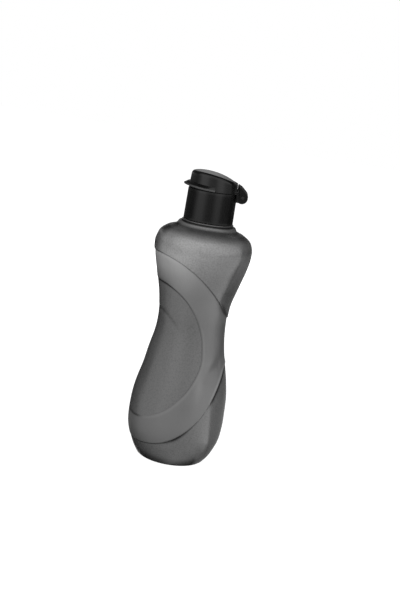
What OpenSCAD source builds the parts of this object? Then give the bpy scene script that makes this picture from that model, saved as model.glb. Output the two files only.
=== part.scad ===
// Squeeze bottle with a screw cap, a drinking spout and a flip lid.
// Millimetres, +Z up. The origin is the middle of the standing ring.
// The lid's hinge lies towards +X and its thumb lip towards -X.

/* [Body] */
// Height from the standing ring to the top of the neck ring
body_h = 182.4; // [172:0.2:195]
// Diameter of the lower bulge
belly_d = 73; // [69:0.2:76]
// Diameter of the waist
waist_d = 51; // [48:0.2:55]
// Diameter of the shoulder bulge
shoulder_d = 70.6; // [68:0.2:74]
// Diameter of the standing ring
base_d = 46.8; // [44:0.2:49]
// Height of the pushed-up middle of the base
push_up = 4; // [2:0.5:6]
// Thinnest wall of the blown shell
body_wall = 1.1; // [0.9:0.1:1.4]

/* [Grip pattern] */
// Distance of the pattern's centre from the bottle's axis, towards -X
pattern_x = 31; // [28:0.5:34]
// Height of the pattern's centre
pattern_z = 85; // [80:0.5:90]
// Half width of the smooth band's outer edge
band_half_w = 59.3; // [57:0.1:61]
// Half height of the smooth band's outer edge
band_half_h = 72; // [68:0.5:74]
// Half width of the grip pad inside the band
pad_half_w = 42.4; // [38:0.2:46]
// Half height of the grip pad inside the band
pad_half_h = 54; // [48:0.5:58]
// Height of each step between the zones
zone_step = 0.6; // [0.3:0.1:0.8]

/* [Neck] */
// Outside diameter of the neck between the threads
neck_d = 30; // [29.6:0.1:30.2]
// Diameter of the mouth
mouth_d = 25.2; // [22:0.2:26]
// Height of the neck above the neck ring
neck_h = 19.2; // [18.6:0.1:19.6]
// Diameter of the ring under the cap
ring_d = 39; // [38:0.2:40]
// Rise of the screw thread in one turn
thread_pitch = 4; // [3.6:0.1:4.6]
// Length of each thread in turns
thread_turns = 1.5; // [1:0.25:2]
// Height of the thread above the neck
thread_depth = 1.2; // [0.9:0.1:1.3]

/* [Screw cap] */
// Diameter of the skirt at its lower edge
skirt_d = 36.6; // [36.2:0.1:37]
// Diameter of the skirt at the lid's joint
skirt_top_d = 36; // [35.8:0.1:36.4]
// Height of the cap from its lower edge to the lid's joint
cap_h = 22.6; // [22.2:0.1:24]
// Thickness of the deck that carries the spout
deck_t = 2; // [1.6:0.1:2.2]
// Diameter of the drinking spout at its foot
spout_d = 13; // [12:0.2:13.4]
// Diameter of the spout's passage
spout_bore_d = 7; // [6.6:0.1:7.4]
// Height of the spout above the deck
spout_h = 7.2; // [6.4:0.1:7.4]
// Thickness of the washer between the neck and the deck
gasket_t = 1.5; // [1.2:0.1:1.6]

/* [Flip lid] */
// Diameter of the lid at its lower edge
lid_d = 35.6; // [35.2:0.1:35.8]
// Diameter of the lid at its top
lid_top_d = 34.4; // [34:0.1:35]
// Height of the lid at the crest of its arched top
lid_h = 12.7; // [12.4:0.1:14]
// Distance of the crest from the bottle's axis, towards -X
crest_x = 10; // [8:0.5:12]
// Radius of the arched top
arch_r = 68; // [64:0.5:76]
// Wall thickness of the lid
lid_wall = 1.7; // [1.4:0.1:1.8]
// Reach of the thumb lip from the bottle's axis
lip_reach = 21.8; // [20.5:0.1:23]
// Upward slant of the thumb lip in degrees
lip_slant = 3.7; // [2:0.1:4]

/* [Hinge] */
// Distance of the hinge axis from the bottle's axis
hinge_x = 22.2; // [22.2:0.1:23]
// Height of the hinge axis below the lid's joint
hinge_drop = 1.4; // [1:0.1:1.8]
// Radius of the lid's round arm ends
arm_r = 4.2; // [3.9:0.1:4.2]
// Width of each lid arm
arm_w = 3; // [2.5:0.1:3.4]
// Width of the cap's hinge boss between the arms
boss_w = 9.4; // [8.6:0.1:9.4]
// Diameter of the hinge pin
pin_d = 2.5; // [2:0.1:2.8]

/* [Hidden] */
$fn = 96;

body_color = [0.38, 0.38, 0.38];
cap_color = [0.11, 0.11, 0.11];
seal_color = [0.80, 0.80, 0.78];
pin_color = [0.13, 0.13, 0.13];

// Gap that is left between faces that only meet loosely
part_gap = 0.4;
// Gap that is left beside the soft seals
seal_gap = 0.05;
// Radial play of the pin in the boss
pin_play = 0.05;
// Overrun of every cutting shape
over = 1;
// Straight pieces in each span of a smooth outline
span_pieces = 5;

belly_r = belly_d / 2;
waist_r = waist_d / 2;
shoulder_r = shoulder_d / 2;
base_r = base_d / 2;
ring_r = ring_d / 2;
neck_r = neck_d / 2;
mouth_r = mouth_d / 2;
// Spread of the flare under the neck ring
flare_w = 2.6;

// Band level of the body from the chime to the foot of the neck, as height share and radius
body_shape = [
    [0, base_r + zone_step],
    [0.008, base_r + 2.2 + zone_step],
    [0.055, belly_r - 5.2],
    [0.13, belly_r - 0.7],
    [0.23, belly_r - 0.3],
    [0.33, belly_r - 2.7],
    [0.44, waist_r + 3.9],
    [0.55, waist_r + 0.2],
    [0.66, waist_r + 0.5],
    [0.77, shoulder_r - 4.8],
    [0.875, shoulder_r],
    [0.935, shoulder_r - 1.7],
    [0.963, shoulder_r - 7.8],
    [0.97, ring_r + 4.6],
    [0.978, ring_r + flare_w - zone_step]
];

// Height that divides the shoulder zone from the base zone, within the band's width
waist_z = 0.52 * body_h;
// Height of the shoulder's foot of the neck
dome_z = body_shape[len(body_shape) - 1][0] * body_h;
// Thickness of the neck ring, and depth of the flare's upper edge below its top
ring_t = 1.2;
flare_drop = 2;
// Width of the flat standing ring, and the wall above it
stand_w = 3.4;
stand_wall = 1.2 * body_wall;
// Width and height of the slope from the shoulder's inside to the mouth
throat_w = 2;
throat_h = 2.5;
neck_top = body_h + neck_h;

cap_z = body_h + part_gap;
joint_z = cap_z + cap_h;
deck_z = joint_z - deck_t;
// Radial play between the two threads' crests and the walls that they face
thread_play = 0.5;
cap_bore_r = neck_r + thread_depth + thread_play;
// Width of the ridge at its foot and along its crest
thread_root_w = 1.9;
thread_crest_w = 0.9;
// Depth to which a thread is sunk into its wall
thread_sink = 0.4;
// Height above the neck ring at which the neck's thread starts
thread_start = 5.6;
thread_z = body_h + thread_start;
// Straight pieces in one turn, and the pieces over which an end fades
thread_steps = 28;
fade_steps = 4;
// Share of the ridge that is left at the ends of a thread
thread_end = 0.2;

lid_z = joint_z + part_gap;
lid_top = lid_z + lid_h;
arch_z = lid_top - arch_r;
hinge_z = joint_z - hinge_drop;
// Gap between the boss and each arm
arm_gap = 0.3;
arm_y = boss_w / 2 + arm_gap;
// Place inside the lid's wall where the arms start
arm_root_x = lid_d / 3;
pin_l = 2 * (arm_y + arm_w);
// Amount by which the boss is smaller than the arm ends
boss_set_back = 0.6;
boss_r = arm_r - boss_set_back;

spout_top = joint_z + spout_h;
// Width and bevel of the spout's rim
spout_rim_w = 1.7;
spout_bevel = 0.6;
// Radius of the stopper's pad, and radius and length of its nose
stopper_r = 6.6;
nose_r = 2.6;
nose_l = 1.5;

// Point on a smooth curve between b and c, with a and d as their neighbours
function smooth_point(a, b, c, d, t) =
    0.5 * (2 * b + (c - a) * t + (2 * a - 5 * b + 4 * c - d) * t * t
           + (3 * b - 3 * c + d - a) * t * t * t);

function near(list, i) = list[max(0, min(len(list) - 1, i))];

// Smooth outline through all points of a list
function smooth_line(list) = [
    for (i = [0 : len(list) - 2])
        for (k = [0 : span_pieces - 1])
            smooth_point(near(list, i - 1), list[i], list[i + 1], near(list, i + 2), k / span_pieces),
    list[len(list) - 1]
];

// Unit vector from an outline towards the bottle's inside
function inward(line, i) =
    let (step = near(line, i + 1) - near(line, i - 1))
    [-step[1], step[0]] / norm(step);

body_line = smooth_line([for (s = body_shape) [s[1], s[0] * body_h]]);
shell_line = [for (p = body_line) [p[0] - zone_step, p[1]]];
inside_line = [for (i = [1 : len(shell_line) - 1]) shell_line[i] + body_wall * inward(shell_line, i)];

// Solid of revolution of the body, grown outwards by a small amount
module body_form(grow) {
    rotate_extrude()
        polygon(concat([[0, 0]], [for (p = body_line) [p[0] + grow, p[1]]], [[0, dome_z]]));
}

// Upright ellipse seen from the front and carried right through the body
module pattern_ellipse(half_w, half_h) {
    translate([-pattern_x, 0, pattern_z])
        rotate([90, 0, 0])
            linear_extrude(height = 2 * belly_d, center = true)
                scale([half_w, half_h])
                    circle(r = 1);
}

module below_waist() {
    translate([-belly_d, -belly_d, -over])
        cube([2 * belly_d, 2 * belly_d, waist_z + over]);
}

// Helical ridge that winds up from height zero, with faded ends
module thread_ridge(root_r, crest_r, turns, pitch) {
    count = ceil(turns * thread_steps);
    function fade(i) = min(1, thread_end + min(i, count - i) / fade_steps);
    rings = [
        for (i = [0 : count])
            let (
                turn = 360 * i / thread_steps,
                rise = pitch * i / thread_steps,
                tip_r = root_r + (crest_r - root_r) * fade(i)
            )
            for (corner = [
                [root_r, -thread_root_w / 2],
                [tip_r, -thread_crest_w / 2],
                [tip_r, thread_crest_w / 2],
                [root_r, thread_root_w / 2]
            ])
                [corner[0] * cos(turn), corner[0] * sin(turn), corner[1] + rise]
    ];
    sides = [
        for (i = [0 : count - 1])
            for (k = [0 : 3])
                let (a = 4 * i + k, b = 4 * i + (k + 1) % 4)
                each crest_r > root_r
                    ? [[a, b + 4, a + 4], [a, b, b + 4]]
                    : [[a, a + 4, b + 4], [a, b + 4, b]]
    ];
    last = 4 * count;
    ends = crest_r > root_r
        ? [[0, 2, 1], [0, 3, 2], [last, last + 1, last + 2], [last, last + 2, last + 3]]
        : [[0, 1, 2], [0, 2, 3], [last, last + 2, last + 1], [last, last + 3, last + 2]];
    polyhedron(rings, concat(sides, ends));
}

// Outside of the body: base and grip pad lowest, smooth band, shoulder highest
module body_outside() {
    body_form(-zone_step);
    difference() {
        body_form(0);
        difference() {
            below_waist();
            pattern_ellipse(band_half_w, band_half_h);
        }
        pattern_ellipse(pad_half_w, pad_half_h);
    }
    difference() {
        body_form(zone_step);
        below_waist();
        pattern_ellipse(band_half_w, band_half_h);
    }
}

// Neck with its ring and the flare that carries it
module neck_outside() {
    rotate_extrude()
        polygon([
            [0, dome_z - over],
            [ring_r + flare_w, dome_z],
            [ring_r + flare_w / 3, body_h - flare_drop],
            [ring_r, body_h - ring_t],
            [ring_r, body_h],
            [neck_r, body_h],
            [neck_r, neck_top],
            [0, neck_top]
        ]);
    translate([0, 0, thread_z])
        thread_ridge(neck_r - thread_sink, neck_r + thread_depth, thread_turns, thread_pitch);
}

// Space inside the body, open at the mouth
module body_inside() {
    rotate_extrude()
        polygon(concat(
            [[0, push_up + body_wall]],
            [[base_r - stand_w - body_wall, stand_wall]],
            inside_line,
            [[neck_r + throat_w, dome_z]],
            [[mouth_r, dome_z + throat_h]],
            [[mouth_r, neck_top + over]],
            [[0, neck_top + over]]
        ));
}

module bottle_body() {
    color(body_color)
        difference() {
            union() {
                body_outside();
                neck_outside();
            }
            body_inside();
            // Pushed-up middle of the base
            translate([0, 0, -over])
                cylinder(r1 = (base_r - stand_w) * (1 + over / push_up), r2 = 0, h = push_up + over);
        }
}

// Upright outline in the X-Z plane, carried along Y between two places
module along_y(y0, y1) {
    translate([0, y1, 0])
        rotate([90, 0, 0])
            linear_extrude(height = y1 - y0)
                children();
}

module hinge_bore(r, length) {
    translate([hinge_x, 0, hinge_z])
        rotate([90, 0, 0])
            cylinder(r = r, h = length, center = true);
}

// Hinge boss that stands out of the skirt between the lid's arms
module hinge_boss() {
    along_y(-boss_w / 2, boss_w / 2) {
        translate([hinge_x, hinge_z])
            circle(r = boss_r);
        translate([cap_bore_r, hinge_z - boss_r])
            square([hinge_x - cap_bore_r, boss_r + hinge_drop - part_gap]);
    }
}

// Drinking spout, turned, with a bevelled rim
module spout() {
    rim_r = spout_bore_d / 2 + spout_rim_w;
    rotate_extrude()
        polygon([
            [spout_bore_d / 2 - over, deck_z + deck_t / 2],
            [spout_d / 2, deck_z + deck_t / 2],
            [rim_r, spout_top - spout_bevel],
            [rim_r - spout_bevel, spout_top],
            [spout_bore_d / 2 - over, spout_top]
        ]);
}

module screw_cap() {
    color(cap_color)
        difference() {
            union() {
                difference() {
                    union() {
                        translate([0, 0, cap_z])
                            cylinder(r1 = skirt_d / 2, r2 = skirt_top_d / 2, h = cap_h);
                        hinge_boss();
                    }
                    translate([0, 0, cap_z - over])
                        cylinder(r = cap_bore_r, h = deck_z - cap_z + over);
                }
                spout();
                translate([0, 0, thread_z - thread_pitch / 2])
                    thread_ridge(cap_bore_r + thread_sink, neck_r + thread_play, thread_turns, thread_pitch);
            }
            translate([0, 0, deck_z - over])
                cylinder(d = spout_bore_d, h = deck_t + spout_h + 2 * over);
            hinge_bore(pin_d / 2 + pin_play, boss_w + over);
        }
}

module neck_gasket() {
    color(seal_color)
        translate([0, 0, deck_z - seal_gap - gasket_t])
            difference() {
                cylinder(r = cap_bore_r - thread_play, h = gasket_t);
                translate([0, 0, -over])
                    cylinder(r = mouth_r, h = gasket_t + 2 * over);
            }
}

// Everything under an arch whose axis lies along Y
module under_arch(r) {
    translate([-crest_x, 0, arch_z])
        rotate([90, 0, 0])
            cylinder(r = r, h = 3 * lid_d, center = true, $fn = 360);
}

// Side view of a lid arm: round end about the pin, top along the lid's arch
module arm_outline() {
    translate([hinge_x, hinge_z])
        circle(r = arm_r);
    intersection() {
        translate([-crest_x, arch_z])
            circle(r = arch_r, $fn = 360);
        polygon([
            [arm_root_x, lid_z],
            [hinge_x, lid_z],
            [hinge_x + arm_r * cos(45), hinge_z + arm_r * sin(45)],
            [hinge_x + arm_r * cos(45) - lid_h, hinge_z + arm_r * sin(45) + lid_h],
            [arm_root_x, lid_top]
        ]);
    }
}

// Flared lip along the front half of the lid, widest at the thumb
module thumb_lip() {
    // Shift of the lip's centre towards the thumb
    lip_shift = 2;
    lip_r = lip_reach - lip_shift;
    // Thickness of the rim, and height and width of the slope above it
    rim_t = 0.9;
    slope_h = 2.6;
    slope_w = 4.1;
    // Place of the lip's square ends, just behind the lid's middle
    lip_end_x = 1.6;
    difference() {
        translate([0, 0, lid_z + part_gap])
            rotate([0, lip_slant, 0])
                translate([-lip_shift, 0, 0]) {
                    cylinder(r = lip_r, h = rim_t);
                    translate([0, 0, rim_t])
                        cylinder(r1 = lip_r, r2 = lip_r - slope_w, h = slope_h);
                }
        translate([lip_end_x, -lid_d, lid_z - lid_h])
            cube([lid_d, 2 * lid_d, 3 * lid_h]);
    }
}

// Hollow of the lid over the deck and the spout
module lid_inside() {
    intersection() {
        translate([0, 0, lid_z - lid_h])
            cylinder(r = lid_d / 2 - lid_wall, h = 3 * lid_h);
        under_arch(arch_r - lid_wall);
    }
}

module flip_lid() {
    color(cap_color)
        difference() {
            union() {
                intersection() {
                    translate([0, 0, lid_z])
                        cylinder(d1 = lid_d, d2 = lid_top_d, h = lid_h + over);
                    under_arch(arch_r);
                }
                thumb_lip();
                along_y(arm_y, arm_y + arm_w)
                    arm_outline();
                along_y(-arm_y - arm_w, -arm_y)
                    arm_outline();
            }
            lid_inside();
            hinge_bore(pin_d / 2, pin_l + over);
        }
}

// Soft plug under the lid's top: a pad on the spout's rim with a short nose in its passage
module spout_stopper() {
    color(seal_color)
        union() {
            intersection() {
                translate([0, 0, spout_top + seal_gap])
                    cylinder(r = stopper_r, h = lid_h);
                under_arch(arch_r - lid_wall);
            }
            translate([0, 0, spout_top + seal_gap - nose_l])
                cylinder(r = nose_r, h = nose_l + over / 2);
        }
}

module hinge_pin() {
    color(pin_color)
        hinge_bore(pin_d / 2, pin_l);
}

bottle_body();
screw_cap();
neck_gasket();
flip_lid();
spout_stopper();
hinge_pin();
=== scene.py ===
"""Looks of a squeeze bottle with a screw cap and a flip lid.

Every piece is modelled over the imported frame, in its place, dressed with a procedural finish,
and shown on a pale floor in soft light. Sizes are in millimetres, angles in degrees.
"""

import logging
import math
from dataclasses import dataclass, field
from enum import Enum
from typing import Any, Callable, Sequence

import bpy
import numpy as np
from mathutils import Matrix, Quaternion, Vector


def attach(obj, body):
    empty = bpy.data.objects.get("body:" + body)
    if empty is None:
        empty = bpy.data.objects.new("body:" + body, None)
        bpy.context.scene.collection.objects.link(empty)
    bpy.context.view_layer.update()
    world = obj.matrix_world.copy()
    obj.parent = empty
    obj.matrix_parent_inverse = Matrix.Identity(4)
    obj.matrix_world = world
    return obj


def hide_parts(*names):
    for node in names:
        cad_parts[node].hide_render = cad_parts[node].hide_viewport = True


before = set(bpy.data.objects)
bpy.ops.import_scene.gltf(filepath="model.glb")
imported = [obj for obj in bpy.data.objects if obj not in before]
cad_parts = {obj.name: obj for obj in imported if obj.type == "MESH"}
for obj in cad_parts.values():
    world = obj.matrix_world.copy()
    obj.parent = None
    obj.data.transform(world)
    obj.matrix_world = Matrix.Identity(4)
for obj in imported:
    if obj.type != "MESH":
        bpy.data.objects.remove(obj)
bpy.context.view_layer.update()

# One millimetre in scene units, the gap under which points merge, and the (x, z) of the hinge's axis.
MM = 0.001
MERGE_GAP = 0.001
HINGE = (22.2, 204.0)
LOG = logging.getLogger("bottle")

Point2 = tuple[float, float]
Point3 = tuple[float, float, float]


class Body(Enum):
    """Bodies of the frame that pieces ride on."""

    BOTTLE = "bottle"
    WASHER = "washer"
    CAP = "cap"
    LID = "lid"


class Outline:
    """Outlines drawn in a plane, as lists of points."""

    @staticmethod
    def rounded(corners: Sequence[Point3], pieces: int = 5, longest: float = 2.0) -> list[Point2]:
        """Rounds the corners of an open outline and splits its long edges.

        Args:
            corners: Points as (across, up, corner radius). The two ends stay sharp.
            pieces: Edges in each rounded corner.
            longest: Edges longer than this are split evenly.

        Returns:
            The points of the outline.
        """
        points: list[Vector] = [Vector(corners[0][:2])]
        for before, corner, after in zip(corners, corners[1:], corners[2:]):
            tip, radius = Vector(corner[:2]), corner[2]
            back, ahead = Vector(before[:2]) - tip, Vector(after[:2]) - tip
            half = back.angle(ahead) / 2
            if radius <= 0 or math.tan(half) > 50:
                points.append(tip)
                continue
            reach = min(radius / math.tan(half), 0.49 * back.length, 0.49 * ahead.length)
            radius = reach * math.tan(half)
            middle = tip + (back.normalized() + ahead.normalized()).normalized() * radius / math.sin(half)
            start, end = tip + back.normalized() * reach - middle, tip + ahead.normalized() * reach - middle
            for k in range(pieces + 1):
                blend = start.lerp(end, k / pieces)
                points.append(middle + blend.normalized() * radius)
        points.append(Vector(corners[-1][:2]))
        dense: list[Point2] = []
        for here, there in zip(points, points[1:]):
            count = max(1, math.ceil((there - here).length / longest))
            dense.extend(tuple(here.lerp(there, k / count)) for k in range(count))
        dense.append(tuple(points[-1]))
        return dense

    @staticmethod
    def smooth(stations: Sequence[Point2], pieces: int) -> np.ndarray:
        """Draws a smooth curve through stations.

        Args:
            stations: Points that the curve passes through.
            pieces: Edges between two stations.

        Returns:
            The curve's points, one in each row.
        """
        ends = np.array([stations[0], *stations, stations[-1]], float)
        steps = np.linspace(0, 1, pieces, endpoint=False)[:, None]
        spans = []
        for a, b, c, d in zip(ends, ends[1:], ends[2:], ends[3:]):
            spans.append(0.5 * (2 * b + (c - a) * steps + (2 * a - 5 * b + 4 * c - d) * steps**2
                                + (3 * b - 3 * c + d - a) * steps**3))
        return np.vstack([*spans, ends[-1:]])

    @staticmethod
    def arc(middle: Point2, radius: float, start: float, end: float, pieces: int) -> list[Point2]:
        """Returns points on an arc between two angles."""
        angles = [math.radians(start + (end - start) * k / pieces) for k in range(pieces + 1)]
        return [(middle[0] + radius * math.cos(a), middle[1] + radius * math.sin(a)) for a in angles]


class Bench:
    """Modelling moves that the pieces are made with."""

    slab_sharpness: float = 50.0
    end_margin: float = 0.15
    end_facing: float = 0.999

    @staticmethod
    def clear() -> None:
        """Leaves edit mode and deselects everything."""
        active = bpy.context.view_layer.objects.active
        if active is not None and active.mode != "OBJECT":
            bpy.ops.object.mode_set(mode="OBJECT")
        bpy.ops.object.select_all(action="DESELECT")

    @classmethod
    def pick(cls, piece: bpy.types.Object) -> None:
        """Makes a piece the only selected and the active one.

        Args:
            piece: The piece.
        """
        cls.clear()
        piece.select_set(True)
        bpy.context.view_layer.objects.active = piece

    @classmethod
    def edit(cls, piece: bpy.types.Object) -> None:
        """Opens a piece in edit mode with all of it selected.

        Args:
            piece: The piece.
        """
        cls.pick(piece)
        bpy.ops.object.mode_set(mode="EDIT")
        bpy.ops.mesh.select_all(action="SELECT")

    @classmethod
    def line(cls, name: str, points: Sequence[Point3]) -> bpy.types.Object:
        """Draws a line of edges by pulling one vertex from point to point.

        Args:
            name: Name of the new piece.
            points: Points of the line, in millimetres.

        Returns:
            The piece, left in edit mode.
        """
        cls.clear()
        bpy.ops.mesh.primitive_plane_add(size=MM, location=Vector(points[0]) * MM)
        piece = bpy.context.object
        piece.name = piece.data.name = name
        bpy.ops.object.transform_apply(location=True, rotation=True, scale=True)
        cls.edit(piece)
        bpy.ops.mesh.merge(type="CENTER")
        for here, there in zip(points, points[1:]):
            pull = (Vector(there) - Vector(here)) * MM
            bpy.ops.mesh.extrude_vertices_move(TRANSFORM_OT_translate={"value": pull})
        return piece

    @staticmethod
    def merge() -> None:
        """Merges the doubles of the piece in edit mode."""
        bpy.ops.mesh.select_all(action="SELECT")
        bpy.ops.mesh.remove_doubles(threshold=MERGE_GAP * MM)

    @classmethod
    def close(cls, piece: bpy.types.Object) -> None:
        """Merges doubles and turns all faces of a piece outwards.

        Args:
            piece: The piece.
        """
        cls.edit(piece)
        cls.merge()
        bpy.ops.mesh.normals_make_consistent(inside=False)
        bpy.ops.object.mode_set(mode="OBJECT")

    @classmethod
    def turn(cls, name: str, outline: Sequence[Point2], steps: int) -> bpy.types.Object:
        """Turns an outline about the bottle's axis.

        Args:
            name: Name of the new piece.
            outline: Points as (radius, height).
            steps: Faces around the axis.

        Returns:
            The turned piece.
        """
        piece = cls.line(name, [(r, 0.0, z) for r, z in outline])
        cls.wind(piece, steps, 1.0, 0.0)
        cls.close(piece)
        return piece

    @classmethod
    def wind(cls, piece: bpy.types.Object, steps: int, turns: float, rise: float) -> None:
        """Sweeps the edges of a piece about the bottle's axis.

        Args:
            piece: The piece that holds the edges.
            steps: Faces along the sweep.
            turns: Turns about the axis.
            rise: Height gained along the sweep.
        """
        cls.pick(piece)
        sweep = piece.modifiers.new("sweep", "SCREW")
        sweep.axis = "Z"
        sweep.angle = math.tau * turns
        sweep.screw_offset = rise * MM
        sweep.steps = sweep.render_steps = steps
        bpy.ops.object.modifier_apply(modifier=sweep.name)

    @classmethod
    def slab(cls, name: str, outline: Sequence[Point2], y0: float, y1: float,
             bevel: float) -> bpy.types.Object:
        """Pulls an upright outline along Y and rounds its edges.

        Args:
            name: Name of the new piece.
            outline: Points as (X, Z), without the closing one.
            y0: Place of the first face along Y.
            y1: Place of the second face along Y.
            bevel: Width of the rounded edges.

        Returns:
            The solid piece.
        """
        piece = cls.line(name, [(x, y0, z) for x, z in [*outline, outline[0]]])
        cls.merge()
        bpy.ops.mesh.edge_face_add()
        bpy.ops.mesh.extrude_region_move(TRANSFORM_OT_translate={"value": (0, (y1 - y0) * MM, 0)})
        cls.close(piece)
        cls.bevel(piece, bevel, cls.slab_sharpness)
        cls.frame_ends(piece)
        return piece

    @classmethod
    def frame_ends(cls, piece: bpy.types.Object) -> None:
        """Insets a slab's two flat ends, so that they shade flat beside their rounded edges.

        Args:
            piece: The slab, which lies along Y.
        """
        cls.edit(piece)
        bpy.ops.mesh.select_all(action="DESELECT")
        bpy.ops.object.mode_set(mode="OBJECT")
        for face in piece.data.polygons:
            if abs(face.normal.y) > cls.end_facing:
                for vertex in face.vertices:
                    piece.data.vertices[vertex].select = True
        bpy.ops.object.mode_set(mode="EDIT")
        bpy.ops.mesh.inset(thickness=cls.end_margin * MM)
        bpy.ops.object.mode_set(mode="OBJECT")

    @classmethod
    def bevel(cls, piece: bpy.types.Object, width: float, sharpness: float) -> None:
        """Rounds the sharp edges of a piece.

        Args:
            piece: The piece.
            width: Width of the rounded edges.
            sharpness: Angle above which an edge is rounded.
        """
        cls.pick(piece)
        rounding = piece.modifiers.new("rounding", "BEVEL")
        rounding.width = width * MM
        rounding.segments = 3
        rounding.limit_method = "ANGLE"
        rounding.angle_limit = math.radians(sharpness)
        bpy.ops.object.modifier_apply(modifier=rounding.name)

    @classmethod
    def sculpt(cls, piece: bpy.types.Object, move: Callable[[np.ndarray], np.ndarray]) -> None:
        """Moves the vertices of a piece.

        Args:
            piece: The piece.
            move: Takes the places of all vertices in millimetres and gives the new ones.
        """
        cls.clear()
        places = np.zeros(3 * len(piece.data.vertices))
        piece.data.vertices.foreach_get("co", places)
        moved = move(places.reshape(-1, 3) / MM) * MM
        piece.data.vertices.foreach_set("co", moved.ravel())
        piece.data.update()

    @staticmethod
    def store(piece: bpy.types.Object, name: str, values: np.ndarray) -> None:
        """Stores a value for each vertex of a piece, for its finish."""
        piece.data.attributes.new(name, "FLOAT", "POINT").data.foreach_set("value", values)

    @classmethod
    def join(cls, piece: bpy.types.Object, *others: bpy.types.Object) -> bpy.types.Object:
        """Joins other meshes into a piece.

        Args:
            piece: The piece that stays.
            others: The meshes that go into it.

        Returns:
            The piece.
        """
        cls.pick(piece)
        for other in others:
            other.select_set(True)
        bpy.ops.object.join()
        return piece

    @classmethod
    def smooth(cls, piece: bpy.types.Object, sharpness: float) -> None:
        """Shades a piece smooth, except at its sharp edges.

        Args:
            piece: The piece.
            sharpness: Angle above which an edge stays sharp.
        """
        cls.pick(piece)
        bpy.ops.object.shade_smooth_by_angle(angle=math.radians(sharpness))
        cls.clear()


class Wire:
    """A value in a node tree, for maths written as Python."""

    def __init__(self, tree: bpy.types.NodeTree, socket: bpy.types.NodeSocket) -> None:
        """Holds an output socket of a tree."""
        self.tree = tree
        self.socket = socket

    def math(self, operation: str, first: "Wire | float", second: "Wire | float" = 0.0) -> "Wire":
        """Adds a Math node.

        Args:
            operation: The node's operation.
            first: Its first value.
            second: Its second value.

        Returns:
            The node's result.
        """
        node = self.tree.nodes.new("ShaderNodeMath")
        node.operation = operation
        for socket, value in zip(node.inputs, (first, second)):
            if isinstance(value, Wire):
                self.tree.links.new(value.socket, socket)
            else:
                socket.default_value = value
        return Wire(self.tree, node.outputs[0])

    def __add__(self, other: "Wire | float") -> "Wire":
        """Sum."""
        return self.math("ADD", self, other)

    __radd__ = __add__

    def __sub__(self, other: "Wire | float") -> "Wire":
        """Difference."""
        return self.math("SUBTRACT", self, other)

    def __rsub__(self, other: float) -> "Wire":
        """Difference from a number."""
        return self.math("SUBTRACT", other, self)

    def __mul__(self, other: "Wire | float") -> "Wire":
        """Product."""
        return self.math("MULTIPLY", self, other)

    __rmul__ = __mul__

    def __truediv__(self, other: "Wire | float") -> "Wire":
        """Quotient."""
        return self.math("DIVIDE", self, other)

    def __or__(self, other: "Wire | float") -> "Wire":
        """The larger of two values."""
        return self.math("MAXIMUM", self, other)


class Sheet:
    """A node tree under construction."""

    def __init__(self, tree: bpy.types.NodeTree) -> None:
        """Empties a tree."""
        self.tree = tree
        tree.nodes.clear()

    def node(self, kind: str, settings: dict[str, Any] | None = None,
             inputs: dict[str | int, Any] | None = None, output: str | int = 0) -> Wire:
        """Adds a node.

        Args:
            kind: Type of the node.
            settings: Its settings; "stops" gives a ramp's stops as (place, grey).
            inputs: Values or wires for its sockets, by name or number.
            output: The output that is wanted.

        Returns:
            That output.
        """
        node = self.tree.nodes.new(kind)
        for name, value in (settings or {}).items():
            if name == "stops":
                self.stops(node.color_ramp, value)
            else:
                setattr(node, name, value)
        for name, value in (inputs or {}).items():
            if isinstance(value, Wire):
                self.tree.links.new(value.socket, node.inputs[name])
            else:
                node.inputs[name].default_value = value
        return Wire(self.tree, node.outputs[output] if node.outputs else None)

    @staticmethod
    def stops(ramp: bpy.types.ColorRamp, stops: Sequence[Point2]) -> None:
        """Sets a ramp's stops.

        Args:
            ramp: The ramp.
            stops: Its stops as (place, grey).
        """
        ramp.interpolation = "LINEAR"
        while len(ramp.elements) < len(stops):
            ramp.elements.new(1.0)
        for element, (place, grey) in zip(ramp.elements, stops):
            element.position = place
            element.color = (grey, grey, grey, 1.0)

    def noise(self, place: Wire, size: float, detail: float) -> Wire:
        """Returns noise whose grains are about a size in millimetres wide."""
        sockets = {"Vector": place, "Scale": 1 / (size * MM), "Detail": detail}
        return self.node("ShaderNodeTexNoise", inputs=sockets)

    def mix(self, share: Wire | float, first: Any, second: Any) -> Wire:
        """Returns a mix of two colours."""
        return self.node("ShaderNodeMix", {"data_type": "RGBA"}, {0: share, 6: first, 7: second}, 2)


def new_material(name: str) -> tuple[bpy.types.Material, Sheet]:
    """Makes an empty material.

    Args:
        name: Name of the material.

    Returns:
        The material and its nodes.
    """
    material = bpy.data.materials.new(name)
    material.use_nodes = True
    return material, Sheet(material.node_tree)


def grey(level: float) -> tuple[float, float, float, float]:
    """Returns a neutral colour of a linear level."""
    return (level, level, level, 1.0)


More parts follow.
